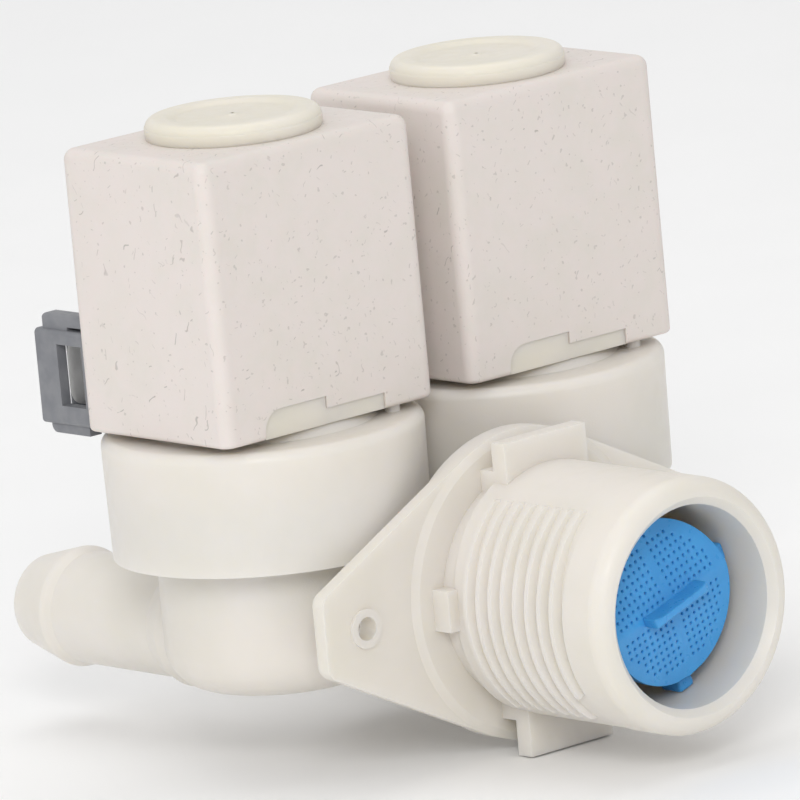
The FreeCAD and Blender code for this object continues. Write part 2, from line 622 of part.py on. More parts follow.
# ---------------------------------------------------------------- inlet pieces
def inlet_filter():
    """Strainer: perforated face, tapered skirt, four feet and a grip bar."""
    cup = turned("StrainerCup", [
        ("0", "-mouth_reach + filter_setback"),
        ("filter_radius", "-mouth_reach + filter_setback"),
        ("filter_radius", "-mouth_reach + filter_setback + filter_plate"),
        ("filter_skirt", "-mouth_reach + filter_setback + filter_length"),
        ("filter_skirt - filter_wall", "-mouth_reach + filter_setback + filter_length"),
        ("filter_radius - filter_wall - filter_draft", "-mouth_reach + filter_setback + filter_plate"),
        ("0", "-mouth_reach + filter_setback + filter_plate"),
    ], "Y")
    pieces = [cup]
    for i in range(4):
        foot = block("StrainerFoot%d" % i, "0", "0", "0",
                     "foot_reach - filter_skirt + foot_sink", "foot_long", "foot_width")
        angle = size("foot_turn") + 90 * i
        turn = Rotation(Vector(0, -1, 0), angle)
        start = value_of("filter_skirt - foot_sink")
        corner = turn.multVec(Vector(start, 0, -size("foot_width") / 2))
        corner.y = value_of("-mouth_reach + filter_setback + foot_setback")
        foot.setExpression("Placement.Base.x", None)
        foot.setExpression("Placement.Base.y", None)
        foot.setExpression("Placement.Base.z", None)
        foot.Placement = Placement(corner, turn)
        pieces.append(foot)
    limit = rod("StrainerLimit", "Y", "foot_reach", "filter_length",
                y="-mouth_reach + filter_setback - 0.01")
    body = doc.addObject("Part::MultiCommon", "StrainerTrim")
    body.Shapes = [joined("StrainerRaw", pieces), limit]
    grip = block("GripBar", "0", "0", "0", "grip_length", "grip_rise + grip_sink", "grip_width")
    turn = Rotation(Vector(0, -1, 0), size("grip_turn"))
    corner = turn.multVec(Vector(-size("grip_length") / 2, 0, -size("grip_width") / 2))
    corner.y = value_of("-mouth_reach + filter_setback - grip_rise")
    for name in "xyz":
        grip.setExpression("Placement.Base." + name, None)
    grip.Placement = Placement(corner, turn)
    return subpart(joined("InletFilter", [body, grip]), "inlet_filter")


def flow_regulator():
    cage = turned("RegulatorCage", [
        ("cage_hole", "-cage_back - skin_gap - cage_plate"),
        ("cage_bore - skin_gap - cage_wall", "-cage_back - skin_gap - cage_plate"),
        ("cage_bore - skin_gap - cage_wall", "-cage_front + skin_gap"),
        ("cage_bore - skin_gap", "-cage_front + skin_gap"),
        ("cage_bore - skin_gap", "-cage_back - skin_gap"),
        ("cage_hole", "-cage_back - skin_gap"),
    ], "Y")
    subpart(cage, "regulator_cage")
    face = "-cage_back - skin_gap - cage_plate"
    rim = "cage_bore - cage_wall - 2 * skin_gap"
    washer = turned("RegulatorWasher", [
        ("washer_bore", face),
        (rim, face),
        (rim, face + " - washer_thick"),
        ("washer_bore + washer_chamfer", face + " - washer_thick"),
        ("washer_bore", face + " - washer_thick + washer_chamfer"),
    ], "Y")
    subpart(washer, "regulator_washer")


# ---------------------------------------------------------------- one valve's pieces
def bonnet(tag):
    """Cover of the pot, with the closed guide tube of the plunger."""
    seat = "pot_top + bead_thick"
    shell = turned("Bonnet" + tag, [
        ("bonnet_radius - bonnet_draft", "bonnet_bottom"),
        ("bonnet_radius", "bonnet_top"),
        ("hub_foot", "bonnet_top"),
        ("hub_head", "coil_floor - skin_gap"),
        ("tube_radius", "coil_floor - skin_gap"),
        ("tube_radius", "tube_top"),
        ("0", "tube_top"),
        ("0", "tube_top - tube_end"),
        ("tube_radius - tube_wall", "tube_top - tube_end"),
        ("tube_radius - tube_wall", "ceiling"),
        ("pilot_radius", "ceiling"),
        ("pilot_radius", seat),
        ("bonnet_radius - bonnet_wall", seat),
        ("bonnet_radius - bonnet_wall", "bonnet_bottom"),
    ])
    softened(shell, [("bonnet_round", ring_edge("bonnet_radius", "bonnet_top"))])
    pins = [rod("Pin%s%d" % (tag, i), "Z", "pin_radius", "coil_floor - skin_gap - bonnet_top + 1",
                "%s * pin_spread" % s, "-(%s) * pin_front" % s, "bonnet_top - 1")
            for i, s in enumerate(("-1", "1"))]
    return joined("BonnetWhole" + tag, [shell] + pins)


def diaphragm(tag):
    base = "pot_top"
    pad_low = "seat_top + skin_gap"
    web_high = "seat_top + skin_gap + pad_thick"
    bead_radius = "bonnet_radius - bonnet_wall - pot_gap"
    return turned("Diaphragm" + tag, [
        ("insert_stem + skin_gap", pad_low),
        ("pad_radius", pad_low),
        ("pad_radius", web_high + " - web_thick"),
        ("pilot_radius + bead_inset", web_high + " - web_thick"),
        ("pilot_radius + bead_inset", base),
        (bead_radius, base),
        (bead_radius, base + " + bead_thick"),
        ("pilot_radius + bead_inset", base + " + bead_thick"),
        ("pilot_radius - web_inset", web_high),
        ("insert_stem + skin_gap", web_high),
    ])


def diaphragm_insert(tag):
    disc_low = "seat_top + 2 * skin_gap + pad_thick"
    disc_high = disc_low + " + insert_disc_thick"
    stem = turned("InsertStem" + tag, [
        ("pilot_bore", "seat_top - insert_claw_thick - skin_gap"),
        ("insert_claw - claw_taper", "seat_top - insert_claw_thick - skin_gap"),
        ("insert_claw", "seat_top - skin_gap - insert_claw_thick + claw_rise"),
        ("insert_claw", "seat_top - skin_gap"),
        ("insert_stem", "seat_top - skin_gap"),
        ("insert_stem", disc_low),
        ("insert_disc", disc_low),
        ("insert_disc", disc_high),
        ("pilot_nozzle", disc_high),
        ("pilot_nozzle - nozzle_taper", disc_high + " + nozzle_height"),
        ("pilot_bore", disc_high + " + nozzle_height"),
    ])
    bleed = rod("Bleed" + tag, "Z", "bleed_radius", "insert_disc_thick + 2",
                "bleed_offset", "0", disc_low + " - 1")
    return carved("Insert" + tag, stem, [bleed])


def plunger(tag):
    radius = "tube_radius - tube_wall - plunger_clearance"
    head = "tube_top - tube_end - plunger_stroke - stop_gap"
    pocket = "spring_coil + spring_wire + pocket_gap"
    bar = turned("PlungerBar" + tag, [
        ("seal_radius", "plunger_foot"),
        (radius + " - plunger_chamfer", "plunger_foot"),
        (radius, "plunger_foot + plunger_chamfer"),
        (radius, head + " - plunger_chamfer"),
        (radius + " - plunger_chamfer", head),
        (pocket, head),
        (pocket, head + " - spring_pocket"),
        ("0", head + " - spring_pocket"),
        ("0", "plunger_foot - seal_proud + seal_length"),
        ("seal_radius", "plunger_foot - seal_proud + seal_length"),
    ])
    flutes = [block("Flute%s%d" % (tag, i), "-flute_width / 2",
                    "%s" % (radius + " - flute_depth" if s > 0 else "-(%s) - 1" % radius),
                    "plunger_foot - 1", "flute_width", "flute_depth + 1",
                    head + " - plunger_foot + 2")
              for i, s in enumerate((1, -1))]
    return carved("Plunger" + tag, bar, flutes)


def plunger_seal(tag):
    low = "plunger_foot - seal_proud"
    return turned("Seal" + tag, [
        ("0", low),
        ("seal_radius - seal_chamfer", low),
        ("seal_radius", low + " + seal_chamfer"),
        ("seal_radius", low + " + seal_length"),
        ("0", low + " + seal_length"),
    ])


def plunger_spring(tag):
    """Compression spring from the plunger's pocket to the tube's closed end."""
    head = "tube_top - tube_end"
    floor = "tube_top - tube_end - plunger_stroke - stop_gap - spring_pocket"
    margin = "spring_wire + skin_gap"
    helix = doc.addObject("Part::Helix", "SpringPath" + tag)
    bind(helix, Pitch="spring_pitch", Radius="spring_coil",
         Height="(%s) - (%s) - 2 * (%s)" % (head, floor, margin),
         pz="(%s) + (%s)" % (floor, margin))
    wire = doc.addObject("Part::Circle", "SpringWire" + tag)
    wire.Placement = Placement(Vector(), Rotation(Vector(1, 0, 0), 90))
    bind(wire, Radius="spring_wire", px="spring_coil", pz="(%s) + (%s)" % (floor, margin))
    spring = doc.addObject("Part::Sweep", "Spring" + tag)
    spring.Sections = [wire]
    spring.Spine = (helix, [])
    spring.Solid = True
    spring.Frenet = True
    return spring


BUSH_OUT = "tube_radius + skin_gap + bush_wall"
BARREL_IN = BUSH_OUT + " + skin_gap"
BARREL_OUT = BARREL_IN + " + barrel_wall"
FOOT_LOW = "coil_floor + skin_gap"
YOKE_LOW = "coil_floor + 2 * skin_gap + foot_thick"
DRUM_LOW = YOKE_LOW + " + yoke_strip + skin_gap"
DRUM_HIGH = "yoke_top - yoke_strip - skin_gap"


def upper_corner(wanted):
    """A test for the level edges along Y above the notch's middle whose box is wanted."""
    middle = value_of("coil_floor + notch_height / 2")
    return lambda edge: (edge.BoundBox.ZMin > middle and edge.BoundBox.ZLength < 1e-4
                         and edge.BoundBox.XLength < 1e-4 and wanted(edge.BoundBox))


def bobbin(tag):
    """Foot flange, barrel and the two flanges that hold the winding."""
    spool = turned("Spool" + tag, [
        (BARREL_IN, FOOT_LOW),
        ("flange_r", FOOT_LOW),
        ("flange_r", FOOT_LOW + " + foot_thick"),
        (BARREL_OUT, FOOT_LOW + " + foot_thick"),
        (BARREL_OUT, DRUM_LOW),
        ("flange_r", DRUM_LOW),
        ("flange_r", DRUM_LOW + " + flange_thick"),
        (BARREL_OUT, DRUM_LOW + " + flange_thick"),
        (BARREL_OUT, DRUM_HIGH + " - flange_thick"),
        ("flange_r", DRUM_HIGH + " - flange_thick"),
        ("flange_r", DRUM_HIGH),
        (BARREL_IN, DRUM_HIGH),
    ])
    face = "coil_depth / 2 - tab_setback"
    high = "notch_height - 2 * skin_gap"
    raw = block("TabRaw" + tag, "-notch_half + tab_gap", "-(%s)" % face, FOOT_LOW,
                "notch_half - tab_gap - tab_right", "notch_depth - tab_setback - 2 * skin_gap", high)
    edge = value_of("-notch_half + tab_gap")
    foot_tab = rounded("FootTab" + tag, raw, [
        (value_of("notch_round - tab_gap"), upper_corner(lambda box: box.XMax < edge + 1e-4)),
    ])
    stem = block("TabStem" + tag, "-tab_stem", "-coil_depth / 2 + notch_depth / 2", FOOT_LOW,
                 "tab_stem - tab_right", "coil_depth / 2 - notch_depth / 2 - tab_root", high)
    apron = block("Apron" + tag, "-tab_right - skin_gap", "-coil_depth / 2 + apron_setback",
                  FOOT_LOW, "notch_right + tab_right",
                  "notch_depth - apron_setback - 2 * skin_gap", "apron_height - 2 * skin_gap")
    return joined("Bobbin" + tag, [spool, foot_tab, stem, apron])


def winding(tag):
    low = DRUM_LOW + " + flange_thick + skin_gap"
    high = DRUM_HIGH + " - flange_thick - skin_gap"
    inner = BARREL_OUT + " + skin_gap"
    return turned("Winding" + tag, [
        (inner, low),
        (inner + " + winding_wall - winding_chamfer", low),
        (inner + " + winding_wall", low + " + winding_chamfer"),
        (inner + " + winding_wall", high + " - winding_chamfer"),
        (inner + " + winding_wall - winding_chamfer", high),
        (inner, high),
    ])


def yoke(tag):
    """U-shaped steel frame: a forked lower plate, a back wall and a holed upper plate."""
    deep = "yoke_front + yoke_back"
    lower = block("YokeLow" + tag, "-yoke_width / 2", "-yoke_front", YOKE_LOW,
                  "yoke_width", deep, "yoke_strip")
    upper = block("YokeHigh" + tag, "-yoke_width / 2", "-yoke_front", "yoke_top - yoke_strip",
                  "yoke_width", deep, "yoke_strip")
    back = block("YokeBack" + tag, "-yoke_width / 2", "yoke_back - yoke_strip", YOKE_LOW,
                 "yoke_width", "yoke_strip", "yoke_top - (%s)" % YOKE_LOW)
    hole = rod("YokeHole" + tag, "Z", BUSH_OUT + " + skin_gap", "3 * yoke_strip",
               z="yoke_top - 2 * yoke_strip")
    neck = BARREL_OUT + " + skin_gap"
    fork_end = rod("ForkEnd" + tag, "Z", neck, "3 * yoke_strip", z=YOKE_LOW + " - yoke_strip")
    fork = block("Fork" + tag, "-(%s)" % neck, "-yoke_front - 1", YOKE_LOW + " - yoke_strip",
                 "2 * (%s)" % neck, "yoke_front + 1", "3 * yoke_strip")
    return carved("Yoke" + tag, joined("YokeFrame" + tag, [lower, upper, back]),
                  [hole, fork_end, fork])


def flux_bushes(tag):
    """Two steel sleeves between tube and bobbin; the gap between them drives the plunger."""
    sleeves = []
    for i, low in enumerate((YOKE_LOW, "yoke_top - bush_length")):
        sleeves.append(turned("Bush%s%d" % (tag, i), [
            ("tube_radius + skin_gap", low),
            (BUSH_OUT, low),
            (BUSH_OUT, low + " + bush_length"),
            ("tube_radius + skin_gap", low + " + bush_length"),
        ]))
    group = doc.addObject("Part::Compound", "Bushes" + tag)
    group.Links = sleeves
    return group


def blade(tag, number):
    """One terminal as a plain bar."""
    return block("Blade%s%d" % (tag, number),
                 "blade_first + %d * blade_pitch - blade_thick / 2" % number,
                 "blade_root", "blade_mid - blade_width / 2",
                 "blade_thick", "blade_tip - blade_root", "blade_width")


def terminals(tag):
    tip = size("blade_tip")
    blades = []
    for number in range(2):
        raw = blade(tag, number)
        blades.append(rounded("BladeRound%s%d" % (tag, number), raw, [
            (size("blade_corner"), lambda e: abs(e.BoundBox.YMin - tip) < 1e-4
             and e.BoundBox.YLength < 1e-4 and e.BoundBox.XLength > 0.1),
        ]))
    group = doc.addObject("Part::Compound", "Terminals" + tag)
    group.Links = blades
    return group


def connector_shroud(tag):
    """Rectangular socket round the terminals, open at the back, with two rails above and one below."""
    back = "coil_depth / 2"
    deep = "shroud_reach - (%s)" % back
    right = "shroud_left + shroud_width"
    along = lambda e: e.BoundBox.XLength < 1e-4 and e.BoundBox.ZLength < 1e-4
    box = rounded("ShroudBox" + tag, block(
        "Shroud" + tag, "shroud_left", back, "shroud_floor",
        "shroud_width", deep, "shroud_height"), [(size("shroud_round"), along)])
    rails = []
    slots = [blade(tag + "s", number) for number in range(2)]
    top = "shroud_floor + shroud_height"
    for i, left in enumerate(("shroud_left + rail_inset", right + " - rail_inset - rail_width")):
        rails.append(rounded("Rail%s%d" % (tag, i), block(
            "RailBar%s%d" % (tag, i), left, back, top + " - rail_lap", "rail_width",
            deep + " - rail_setback", "rail_rise + rail_lap"), [
                (size("shroud_round"), lambda e: e.BoundBox.ZMin > value_of(top))]))
        slots.append(block("RailSlot%s%d" % (tag, i), left + " - 1", back + " - 1", top,
                           "rail_width + 2", deep + " - rail_setback - rail_slot + 1",
                           "rail_slot_height"))
    reach = value_of("shroud_reach - rail_setback")
    keel = rounded("Keel" + tag, block(
        "KeelBar" + tag, "shroud_left + rail_inset", "keel_start", "shroud_floor - keel_depth",
        "keel_width", "shroud_reach - rail_setback - keel_start", "keel_depth + rail_lap"), [
            (size("keel_round"), lambda e: e.BoundBox.YMin > reach - 1e-4
             and e.BoundBox.XLength > 1 and e.BoundBox.ZMax < value_of("shroud_floor"))])
    solid = joined("ShroudSolid" + tag, [box, keel] + rails)
    cavity = block("Cavity" + tag, "shroud_left + shroud_wall", back + " + shroud_base",
                   "shroud_floor + shroud_wall", "shroud_width - 2 * shroud_wall",
                   deep + " - shroud_base + 1", "shroud_height - 2 * shroud_wall")
    window = block("Window" + tag, "shroud_left - 1", back + " + shroud_base",
                   "shroud_floor + shroud_wall + window_foot", "shroud_wall + 2",
                   "window_end - (%s) - shroud_base" % back,
                   "shroud_height - 2 * shroud_wall - window_foot - window_head")
    open_box = carved("ShroudShell" + tag, solid, [cavity, window] + slots)
    rib = block("ShroudRib" + tag, "rib_left", back + " + shroud_base / 2",
                "shroud_floor + shroud_wall / 2", "rib_thick", deep + " - shroud_base / 2",
                "shroud_height - shroud_wall")
    return joined("ConnectorShroud" + tag, [open_box, rib])


def coil_shell(tag):
    """Moulded block round the yoke, with the bore for the tube and the notch in its front foot."""
    raw = block("CoilBlock" + tag, "-coil_width / 2", "-coil_depth / 2", "coil_floor",
                "coil_width", "coil_depth", "coil_height")
    floor = size("coil_floor")
    upright = rounded("CoilUpright" + tag, raw, [
        (size("coil_corner"), lambda e: e.BoundBox.ZLength > 1),
    ])
    shaped = rounded("CoilRound" + tag, upright, [
        (size("coil_edge"), lambda e: e.BoundBox.ZMin > floor + 1),
    ])
    solid = rounded("CoilFoot" + tag, shaped, [
        (size("foot_edge"), lambda e: e.BoundBox.ZMax < floor + 1e-4),
    ])
    gap = "skin_gap"
    drum = rod("DrumSpace" + tag, "Z", "flange_r + " + gap, "yoke_top + skin_gap - coil_floor + 1",
               z="coil_floor - 1")
    plates = []
    for i, low in enumerate((YOKE_LOW, "yoke_top - yoke_strip")):
        plates.append(block("PlateSpace%s%d" % (tag, i), "-yoke_width / 2 - skin_gap",
                            "-yoke_front - skin_gap", low + " - skin_gap",
                            "yoke_width + 2 * skin_gap", "yoke_front + yoke_back + 2 * skin_gap",
                            "yoke_strip + 2 * skin_gap"))
    wall = block("WallSpace" + tag, "-yoke_width / 2 - skin_gap",
                 "yoke_back - yoke_strip - skin_gap", YOKE_LOW + " - skin_gap",
                 "yoke_width + 2 * skin_gap", "yoke_strip + 2 * skin_gap",
                 "yoke_top - (%s) + 2 * skin_gap" % YOKE_LOW)
    bore = rod("CapBore" + tag, "Z", "tube_radius + cap_grip + 3 * skin_gap", "coil_height",
               z="yoke_top")
    notch_raw = block("NotchRaw" + tag, "-notch_half", "-coil_depth / 2 - 1", "coil_floor - 1",
                      "notch_half - tab_right + 2 * skin_gap", "notch_depth + 1",
                      "notch_height + 1")
    notch = rounded("Notch" + tag, notch_raw, [
        (size("notch_round"), upper_corner(lambda box: box.XMax < 1 - size("notch_half"))),
    ])
    apron_room = block("ApronRoom" + tag, "-tab_right - 2 * skin_gap", "-coil_depth / 2 - 1",
                       "coil_floor - 1", "notch_right + tab_right + 2 * skin_gap",
                       "notch_depth + 1", "apron_height + 1")
    room = block("StemRoom" + tag, "-tab_stem - skin_gap", "-coil_depth / 2 - 1", "coil_floor - 1",
                 "tab_stem - tab_right + 2 * skin_gap", "coil_depth / 2 + 1 - tab_root + skin_gap",
                 "notch_height + 1")
    slots = [blade(tag + "c", number) for number in range(2)]
    return carved("CoilShell" + tag, solid,
                  [drum, wall, bore, notch, apron_room, room] + plates + slots)


def coil_cap(tag):
    """Bevelled disc on top of the coil, with a socket that grips the guide tube."""
    top = "coil_floor + coil_height"
    grip_in = "tube_radius + skin_gap"
    grip_out = "tube_radius + skin_gap + cap_grip"
    face = top + " + cap_rise"
    return turned("Cap" + tag, [
        ("0", "tube_top + skin_gap"),
        (grip_in, "tube_top + skin_gap"),
        (grip_in, top + " - cap_reach"),
        (grip_out, top + " - cap_reach"),
        (grip_out, top),
        ("cap_radius", top),
        ("cap_radius - cap_draft", face + " - cap_bevel"),
        ("cap_crown", face),
        ("cap_dish", face),
        ("cap_dish - dish_slope", face + " - cap_dish_depth"),
        ("cap_gate", face + " - cap_dish_depth"),
        ("cap_gate - gate_taper", face + " - cap_dish_depth + gate_rise"),
        ("0", face + " - cap_dish_depth + gate_rise"),
    ])


PIECES = [
    ("bonnet", bonnet),
    ("diaphragm", diaphragm),
    ("diaphragm_insert", diaphragm_insert),
    ("plunger", plunger),
    ("plunger_seal", plunger_seal),
    ("plunger_spring", plunger_spring),
    ("bobbin", bobbin),
    ("winding", winding),
    ("yoke", yoke),
    ("flux_bushes", flux_bushes),
    ("terminals", terminals),
    ("connector_shroud", connector_shroud),
    ("coil_shell", coil_shell),
    ("coil_cap", coil_cap),
]

valve_body()
inlet_filter()
flow_regulator()
for side, place in (("left", "-valve_pitch / 2"), ("right", "valve_pitch / 2")):
    for piece, make in PIECES:
        subpart(make(side.capitalize()), "%s_%s" % (piece, side), place, "axis_setback")
doc.recompute()

# ---------------------------------------------------------------- checks and export
for item in doc.Objects:
    if "Invalid" in item.State or "Error" in item.State:
        raise RuntimeError("%s did not compute: %s" % (item.Name, item.State))
for item in SUBPARTS:
    if item.Shape.isNull() or not item.Shape.isValid() or not item.Shape.Solids:
        raise RuntimeError("%s has no valid solid" % item.Label)

body = doc.getObject("ValveBody")
if len(body.Shape.Solids) != 1 or body.Shape.Volume < body.Base.Shape.Volume + 1:
    raise RuntimeError("the thread did not join the valve body")

os.makedirs("parts", exist_ok=True)
for item in SUBPARTS:
    item.Shape.exportStep("parts/%s.step" % item.Label)
    box = item.Shape.BoundBox
    print("%-24s solids %d volume %9.1f  x %.2f..%.2f y %.2f..%.2f z %.2f..%.2f" % (
        item.Label, len(item.Shape.Solids), item.Shape.Volume,
        box.XMin, box.XMax, box.YMin, box.YMax, box.ZMin, box.ZMax))
print("sub-parts", len(SUBPARTS))
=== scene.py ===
import json
import math

import bpy
import numpy as np
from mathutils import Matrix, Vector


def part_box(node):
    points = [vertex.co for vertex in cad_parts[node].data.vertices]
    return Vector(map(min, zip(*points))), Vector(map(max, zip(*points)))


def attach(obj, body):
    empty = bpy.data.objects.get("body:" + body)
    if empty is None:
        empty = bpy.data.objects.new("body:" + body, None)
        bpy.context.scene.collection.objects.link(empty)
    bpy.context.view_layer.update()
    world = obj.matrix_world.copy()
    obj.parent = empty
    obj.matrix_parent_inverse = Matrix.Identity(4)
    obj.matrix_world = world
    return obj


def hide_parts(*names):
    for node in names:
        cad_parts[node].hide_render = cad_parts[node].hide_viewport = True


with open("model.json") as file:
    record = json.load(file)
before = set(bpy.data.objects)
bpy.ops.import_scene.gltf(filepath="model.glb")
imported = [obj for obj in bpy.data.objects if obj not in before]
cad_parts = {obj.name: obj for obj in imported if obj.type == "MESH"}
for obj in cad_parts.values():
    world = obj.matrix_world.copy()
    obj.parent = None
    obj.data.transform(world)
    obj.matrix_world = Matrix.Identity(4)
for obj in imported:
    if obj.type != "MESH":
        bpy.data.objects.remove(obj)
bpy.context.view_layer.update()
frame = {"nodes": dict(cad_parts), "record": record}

# Twin solenoid water valve. Metres; X right, Y from the inlet to the outlets, Z up the coils.
# The frame's bodies give every place; the shapes below are finer skins over them.

MM = 0.001
SIDES = ("left", "right")
scene = bpy.context.scene


# ---------------------------------------------------------------- places from the frame
FILTER_LOW, FILTER_HIGH = (np.array(corner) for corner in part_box("inlet_filter"))
BODY_LOW = np.array(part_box("valve_body")[0])


# ---------------------------------------------------------------- mesh making
def piece(name, points, faces, material, smooth=True):
    """A mesh object from an array of points and a list of faces, with one finish."""
    mesh = bpy.data.meshes.new(name)
    mesh.from_pydata(np.asarray(points, float).tolist(), [], faces)
    mesh.update()
    mesh.polygons.foreach_set("use_smooth", [smooth] * len(mesh.polygons))
    mesh.materials.append(material)
    thing = bpy.data.objects.new(name, mesh)
    scene.collection.objects.link(thing)
    return thing


def grid_faces(rows, columns, first=0, wrap=True):
    """Quads of a rows by columns grid of points; wrap joins its last column to its first."""
    row = np.arange(rows - 1)[:, None]
    column = np.arange(columns if wrap else columns - 1)[None, :]
    beside = (column + 1) % columns
    quads = np.stack([row * columns + column, row * columns + beside,
                      (row + 1) * columns + beside, (row + 1) * columns + column], axis=-1)
    return (quads.reshape(-1, 4) + first).tolist()


# ---------------------------------------------------------------- finishes
class Finish:
    """A material being built: its shader, and short ways to add texture nodes."""

    def __init__(self, name, colour, roughness, **constants):
        self.material = bpy.data.materials.new(name)
        self.material.use_nodes = True
        self.nodes = self.material.node_tree.nodes
        self.links = self.material.node_tree.links
        self.shader = self.nodes["Principled BSDF"]
        self.shader.inputs["Base Color"].default_value = (*colour, 1)
        self.shader.inputs["Roughness"].default_value = roughness
        for socket, value in constants.items():
            self.shader.inputs[socket.replace("_", " ")].default_value = value
        self.place = self.nodes.new("ShaderNodeTexCoord").outputs["Object"]

    def math(self, operation, *values, clamp=False):
        node = self.nodes.new("ShaderNodeMath")
        node.operation = operation
        node.use_clamp = clamp
        for socket, value in zip(node.inputs, values):
            self.feed(socket, value)
        return node.outputs[0]

    def vector(self, operation, *values, out="Vector"):
        node = self.nodes.new("ShaderNodeVectorMath")
        node.operation = operation
        for socket, value in zip(node.inputs, values):
            self.feed(socket, value)
        return node.outputs[out]

    def feed(self, socket, value):
        if isinstance(value, bpy.types.NodeSocket):
            self.links.new(value, socket)
        else:
            socket.default_value = value

    def noise(self, scale, detail=2.0, roughness=0.5, stretch=(1, 1, 1), shift=(0, 0, 0)):
        """Fractal noise over the piece; scale is in features per metre."""
        mapping = self.nodes.new("ShaderNodeMapping")
        mapping.inputs["Scale"].default_value = stretch
        mapping.inputs["Location"].default_value = shift
        self.links.new(self.place, mapping.inputs["Vector"])
        node = self.nodes.new("ShaderNodeTexNoise")
        node.inputs["Scale"].default_value = scale
        node.inputs["Detail"].default_value = detail
        node.inputs["Roughness"].default_value = roughness
        self.links.new(mapping.outputs["Vector"], node.inputs["Vector"])
        return node.outputs["Fac"]

    def ramp(self, value, low, high, to_low=0.0, to_high=1.0):
        """A smooth step from to_low to to_high as value goes from low to high."""
        node = self.nodes.new("ShaderNodeMapRange")
        node.interpolation_type = "SMOOTHSTEP"
        for socket, number in zip(node.inputs, (value, low, high, to_low, to_high)):
            self.feed(socket, number)
        return node.outputs[0]

    def mix(self, amount, first, second, blend="MIX"):
        node = self.nodes.new("ShaderNodeMix")
        node.data_type = "RGBA"
        node.blend_type = blend
        self.feed(node.inputs["Factor"], amount)
        for socket, value in ((node.inputs[6], first), (node.inputs[7], second)):
            self.feed(socket, (*value, 1) if isinstance(value, tuple) else value)
        return node.outputs[2]

    def bump(self, height, distance, strength=1.0, after=None):
        node = self.nodes.new("ShaderNodeBump")
        node.inputs["Distance"].default_value = distance
        node.inputs["Strength"].default_value = strength
        self.links.new(height, node.inputs["Height"])
        if after:
            self.links.new(after, node.inputs["Normal"])
        return node.outputs["Normal"]

    def set(self, socket, value):
        self.feed(self.shader.inputs[socket], value)

    def shreds(self, cell, reach, width, share):
        """Short hairs: in each cell a thin round flake at a random tilt cuts the surface in a dash."""
        spread = self.vector("MULTIPLY", self.place, (1 / cell, 1 / cell, 1 / cell))
        wobble = self.nodes.new("ShaderNodeTexNoise")
        wobble.inputs["Scale"].default_value = 1.6
        wobble.inputs["Detail"].default_value = 0.0
        self.links.new(spread, wobble.inputs["Vector"])
        bent = self.vector("MULTIPLY_ADD", wobble.outputs["Color"], (0.5, 0.5, 0.5), spread)
        cells = self.nodes.new("ShaderNodeTexVoronoi")
        cells.inputs["Scale"].default_value = 1.0
        self.links.new(bent, cells.inputs["Vector"])
        local = self.vector("SUBTRACT", bent, cells.outputs["Position"])
        tilt = self.vector("NORMALIZE", self.vector("SUBTRACT", cells.outputs["Color"],
                                                    (0.5, 0.5, 0.5)))
        off = self.math("ABSOLUTE", self.vector("DOT_PRODUCT", local, tilt, out="Value"))
        far = self.vector("LENGTH", local, out="Value")
        parts = self.nodes.new("ShaderNodeSeparateColor")
        self.links.new(cells.outputs["Color"], parts.inputs["Color"])
        long = self.math("MULTIPLY", self.math("POWER", parts.outputs["Green"], 1.5), reach)
        inside = self.ramp(self.math("SUBTRACT", far, long), -0.08, 0.0, 1.0, 0.0)
        thin = self.ramp(off, width * 0.35, width, 1.0, 0.0)
        there = self.math("LESS_THAN", parts.outputs["Red"], share)
        strong = self.math("MULTIPLY_ADD", parts.outputs["Blue"], 0.7, 0.3)
        return self.math("MULTIPLY", self.math("MULTIPLY", inside, thin),
                         self.math("MULTIPLY", there, strong))


def moulded_body(name, colour, shade, roughness, scatter):
    """Slightly see-through natural plastic: soft clouds, faint flow lines, fine matt skin."""
    f = Finish(name, colour, roughness, Subsurface_Weight=scatter, Subsurface_Scale=0.004,
               IOR=1.5)
    f.shader.inputs["Subsurface Radius"].default_value = (1.0, 0.9, 0.65)
    clouds = f.noise(90, 3, 0.5)
    flow = f.noise(260, 2, 0.5, stretch=(1, 0.25, 1))
    tone = f.mix(f.ramp(clouds, 0.32, 0.72), colour, shade)
    f.set("Base Color", f.mix(f.ramp(flow, 0.55, 0.8, 0.0, 0.25), tone, shade))
    f.set("Roughness", f.ramp(f.noise(700, 2), 0.3, 0.7, roughness - 0.06, roughness + 0.08))
    waves = f.bump(f.noise(160, 1), 0.00035, 0.25)
    f.set("Normal", f.bump(f.noise(5200, 2, 0.6), 0.00003, 0.35, waves))
    return f.material


def fibre_compound(name, colour, warm, dark):
    """Dry fibre-filled moulding compound: mottled white, with fine dark hairs, specks and pits."""
    f = Finish(name, colour, 0.55, Subsurface_Weight=0.06, Subsurface_Scale=0.0015, IOR=1.5)
    mottle = f.mix(f.ramp(f.noise(240, 4, 0.6), 0.35, 0.7), colour, warm)
    blush = f.mix(f.ramp(f.noise(75, 2), 0.35, 0.7, 0.0, 0.5), mottle, colour)
    hairs = f.shreds(0.0017, 0.62, 0.045, 0.55)
    short = f.shreds(0.0009, 0.42, 0.07, 0.4)
    specks = f.ramp(f.noise(1900, 1, 0.4), 0.70, 0.76)
    marks = f.math("ADD", f.math("MULTIPLY", hairs, 0.62),
                   f.math("ADD", f.math("MULTIPLY", short, 0.42),
                          f.math("MULTIPLY", specks, 0.32)), clamp=True)
    f.set("Base Color", f.mix(marks, blush, dark))
    f.set("Roughness", f.ramp(f.noise(900, 3), 0.3, 0.7, 0.46, 0.62))
    f.set("Normal", f.bump(f.noise(2600, 3, 0.6), 0.00004, 0.5,
                           f.bump(marks, -0.00003, 0.4)))
    return f.material


